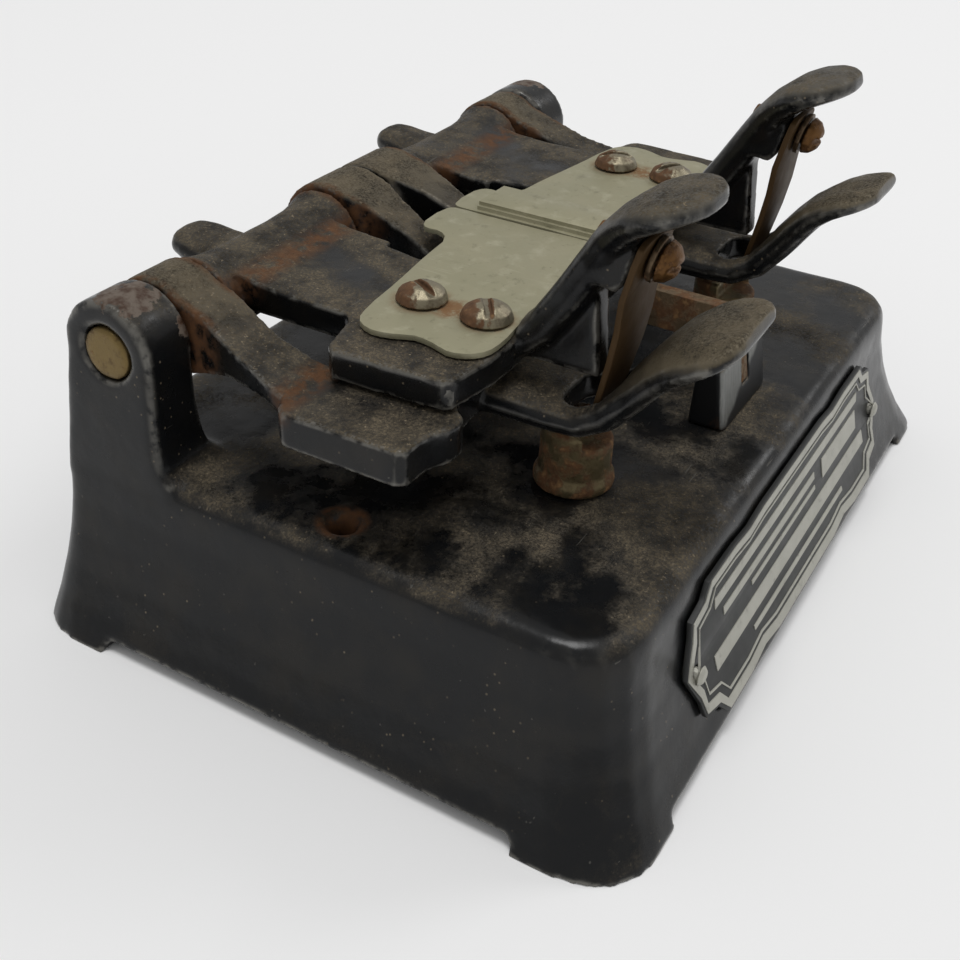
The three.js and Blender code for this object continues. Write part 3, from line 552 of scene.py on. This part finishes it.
def plate_skin():
    """Finds the nameplate's front face: returns a function from (x, z) to the y of its surface."""
    source = frame["nodes"]["nameplate"].data
    points = [v.co.copy() for v in source.vertices]
    faces = [tuple(p.vertices) for p in source.polygons]
    tree = BVHTree.FromPolygons(points, faces)

    def surface_y(x, z):
        spot = tree.ray_cast(Vector((x, IN_FRONT, z)), Vector((0, 1, 0)))[0]
        if spot is None:
            spot = tree.find_nearest(Vector((x, AT_PLATE, z)))[0]
        return spot.y

    return surface_y


def ribbon(name, path, width, surface_y, closed):
    """A flat raised strip on the nameplate, along (x, z) points in millimetres."""
    mesh = bmesh.new()
    rings = []
    count = len(path)
    for i, (x, z) in enumerate(path):
        before = path[(i - 1) % count] if closed or i > 0 else path[i]
        after = path[(i + 1) % count] if closed or i < count - 1 else path[i]
        run = Vector((after[0] - before[0], after[1] - before[1])).normalized()
        across = Vector((-run.y, run.x)) * width / 2
        ring = []
        for sign in (1, -1):
            px, pz = (x + sign * across.x) * MM, (z + sign * across.y) * MM
            y = surface_y(px, pz)
            ring.append(mesh.verts.new((px, y - RELIEF_HEIGHT * MM, pz)))
            ring.append(mesh.verts.new((px, y + RELIEF_SINK * MM, pz)))
        rings.append([ring[0], ring[2], ring[3], ring[1]])
    last = count if closed else count - 1
    for i in range(last):
        a, b = rings[i], rings[(i + 1) % count]
        for k in range(4):
            mesh.faces.new((a[k], a[(k + 1) % 4], b[(k + 1) % 4], b[k]))
    if not closed:
        mesh.faces.new(rings[0])
        mesh.faces.new(rings[-1])
    bmesh.ops.recalc_face_normals(mesh, faces=mesh.faces)
    data = bpy.data.meshes.new(name)
    mesh.to_mesh(data)
    mesh.free()
    piece = bpy.data.objects.new(name, data)
    bpy.context.collection.objects.link(piece)
    return piece


def straight(x0, x1, z, step=4.0):
    """Points along a level line, about a step apart."""
    count = max(2, round(abs(x1 - x0) / step))
    return [(x0 + (x1 - x0) * i / count, z) for i in range(count + 1)]


def border_path(inset):
    """The nameplate's scrolled outline, moved in by inset millimetres."""
    half, low, high = PLATE_HALF - inset, PLATE_LOW + inset, PLATE_HIGH - inset
    quarter = [
        (0, high), (14, high), (20, high - 0.6), (26, high), (half - 9, high), (half - 7, high - 2.2),
        (half - 3, high - 3), (half - 2.6, high - 5.6), (half, 14.5),
    ]
    top = quarter[::-1][:-1] + [quarter[0]] + [(-x, z) for x, z in quarter[1:]]
    bottom = [(x, low + high - z) for x, z in top[1:-1]][::-1]
    return top + bottom


def add_relief(piece, material):
    piece.data.materials.append(material)
    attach(piece, BODY_OF["nameplate"])


def nameplate_relief(material):
    surface_y = plate_skin()

    def raise_strip(label, path, width, closed=False):
        add_relief(ribbon(f"nameplate_{label}", path, width, surface_y, closed), material)

    raise_strip("border", border_path(BORDER_INSET), BORDER_WIDTH, closed=True)
    raise_strip("inner_line", border_path(LINE_INSET), LINE_WIDTH, closed=True)
    for label, x0, x1, z, width in RULES:
        raise_strip(f"rule_{label}", straight(x0, x1, z), width)
    raise_strip("window", straight(*WINDOW), WINDOW_WIDTH)


# ---------------------------------------------------------------- the object
# The right mounting hole, mirrored for the left one, in metres, and the reach of its rust in millimetres.
MOUNTING_HOLE = (0.056, 0.0012, 0.0285)
HOLE_RUST = 4.4
# Where the enamel is chipped: point in metres and reach in millimetres.
CHIPS = (
    ((-0.0580, 0.0350, 0.0552), 4.5),
    ((-0.0535, 0.0290, 0.0500), 1.8),
    ((0.0600, 0.0370, 0.0550), 3.5),
    ((-0.0705, -0.0100, 0.0150), 1.6),
)


def dress_base():
    x, y, z = MOUNTING_HOLE
    holes = [((sign * x, y, z), HOLE_RUST * MM) for sign in (-1, 1)]
    chips = [(point, reach * MM) for point, reach in CHIPS]
    black = enamel("enamel_base", dust=0.72, holes=holes, chipped=chips)
    cast_surface("base_casting", black, voxel=0.52, softness=14, lumps=0.12, lump_size=7)
    cast_surface("hinge_rod", corroded("bronzed_rod", ROD_BRONZE, 0.22), voxel=0.5, softness=3)
    for side in ("left", "right"):
        plated = corroded(f"nickel_post_{side}", POST_STEEL, 0.72)
        cast_surface(f"{side}_rest_post", plated, voxel=0.28, softness=12)
    cast_surface("centre_block", ground_block("ground_block"), voxel=0.25, softness=3)
    cast_surface("centre_block_screw", corroded("block_screw_rust", NICKEL, 0.8), voxel=0.3, softness=2)
    pressed_surface("centre_guide_plate", corroded("guide_rust", GUIDE_STEEL, 0.70), radius=0.2)


def dress_nameplate():
    pressed_surface("nameplate", etched("name_field", False), 0.12)
    bright = etched("name_bright", True)
    for side in ("left", "right"):
        cast_surface(f"nameplate_pin_{side}", bright, 0.15, 2)
    nameplate_relief(bright)


# Where the moving barrels and knuckles meet, in millimetres from the middle along X.
BARREL_ENDS = (11.4, 43.8)
KNUCKLE_ENDS = (11.2, 43.9, 52.9)
# The (y, z) line, in metres, where each arm's platform or block meets what is behind it.
LOWER_CREASE = (0.0095, 0.0462)
UPPER_CREASE = (0.0290, 0.0508)
# The height in metres from which each paddle's top is rubbed.
LOWER_RUBBED_FROM = 0.047
UPPER_RUBBED_FROM = 0.064
# How far in millimetres the rust stains reach on a pressure plate: rear screw, front screw, between.
STAIN_REACH = (5.5, 5.2, 4.0)


def dress_arms(side):
    sign = -1 if side == "left" else 1
    barrel_ends = [sign * x * MM for x in BARREL_ENDS]
    knuckle_ends = [sign * x * MM for x in KNUCKLE_ENDS]
    lower = enamel(
        f"enamel_lower_{side}", dust=1.45, seams=knuckle_ends, crease=LOWER_CREASE,
        worn_from=LOWER_RUBBED_FROM, rub=RUBBED_BROWN,
    )
    upper = enamel(
        f"enamel_upper_{side}", dust=1.35, seams=barrel_ends, crease=UPPER_CREASE,
        worn_from=UPPER_RUBBED_FROM,
    )
    cast_surface(f"lower_{side}_arm", lower, voxel=0.42, softness=6, lumps=0.10, lump_size=5)
    cast_surface(f"upper_{side}_arm", upper, voxel=0.42, softness=6, lumps=0.10, lump_size=5)


def dress_plates(side):
    screws = [centre_of(f"{side}_plate_screw_{end}") for end in ("rear", "front")]
    spots = (*screws, (screws[0] + screws[1]) / 2)
    stains = [(spot, reach * MM) for spot, reach in zip(spots, STAIN_REACH)]
    pressed_surface(f"{side}_pressure_plate", tarnished(f"tarnished_{side}", stains), radius=0.18)
    pressed_surface(f"{side}_film_track", tarnished(f"track_{side}"), radius=0.15)
    for end in ("rear", "front"):
        rust = corroded(f"plate_screw_{side}_{end}", NICKEL, 0.42, pitting=0.07, lean=(-0.30, 0.50))
        screw = f"{side}_plate_screw_{end}"
        cast_surface(screw, rust, voxel=0.17, softness=9, lumps=0.10, lump_size=1.2)
        pin = tarnished(f"pin_{side}_{end}")
        cast_surface(f"{side}_register_pin_{end}", pin, voxel=0.14, softness=2)
    for end in ("outer", "inner"):
        screw = tarnished(f"track_screw_{side}_{end}")
        cast_surface(f"{side}_track_screw_{end}", screw, voxel=0.16, softness=2)


def dress_latch(side):
    pressed_surface(f"{side}_latch_spring", spring_steel(f"leaf_{side}"), radius=0.2)
    washer = corroded(f"latch_washer_{side}", WASHER_STEEL, 0.55)
    cast_surface(f"{side}_latch_washer", washer, voxel=0.17, softness=2)
    rust = corroded(f"latch_screw_{side}", LATCH_STEEL, 0.62, pitting=0.09)
    cast_surface(f"{side}_latch_screw", rust, voxel=0.17, softness=7, lumps=0.14, lump_size=1.4)


# ---------------------------------------------------------------- stage and light
FLOOR_SIZE = 6
FLOOR_COLOUR = (0.90, 0.90, 0.90)
WORLD_STRENGTH = 0.50
# The middle of the object, which the lights point at.
AIM = Vector((0, 0, 0.03))
# Each light: name, place in metres, diameter in metres and power in watts.
LIGHTS = (
    ("ceiling", (-0.1, 0.0, 2.2), 0.9, 19.0),
    ("window", (1.4, -0.7, 1.2), 0.6, 5.0),
)


def make_floor():
    bpy.ops.mesh.primitive_plane_add(size=FLOOR_SIZE)
    floor = bpy.context.object
    floor.name = "floor"
    s = Shader("pale_floor")
    floor.data.materials.append(s.surface(FLOOR_COLOUR, 0.9, 0.0, 0.1))


def soft_light(name, place, size, power):
    data = bpy.data.lights.new(name, "AREA")
    data.shape = "DISK"
    data.size = size
    data.energy = power
    light = bpy.data.objects.new(name, data)
    light.location = place
    light.rotation_euler = (AIM - Vector(place)).to_track_quat("-Z", "Y").to_euler()
    bpy.context.collection.objects.link(light)


def make_lights():
    world = bpy.data.worlds.new("studio")
    bpy.context.scene.world = world
    world.use_nodes = True
    background = world.node_tree.nodes["Background"]
    background.inputs["Color"].default_value = (1, 1, 1, 1)
    background.inputs["Strength"].default_value = WORLD_STRENGTH
    for light in LIGHTS:
        soft_light(*light)
    bpy.context.scene.view_settings.view_transform = "Standard"


make_camera()
make_floor()
make_lights()
dress_base()
dress_nameplate()
for pair_side in ("left", "right"):
    dress_arms(pair_side)
    dress_plates(pair_side)
    dress_latch(pair_side)
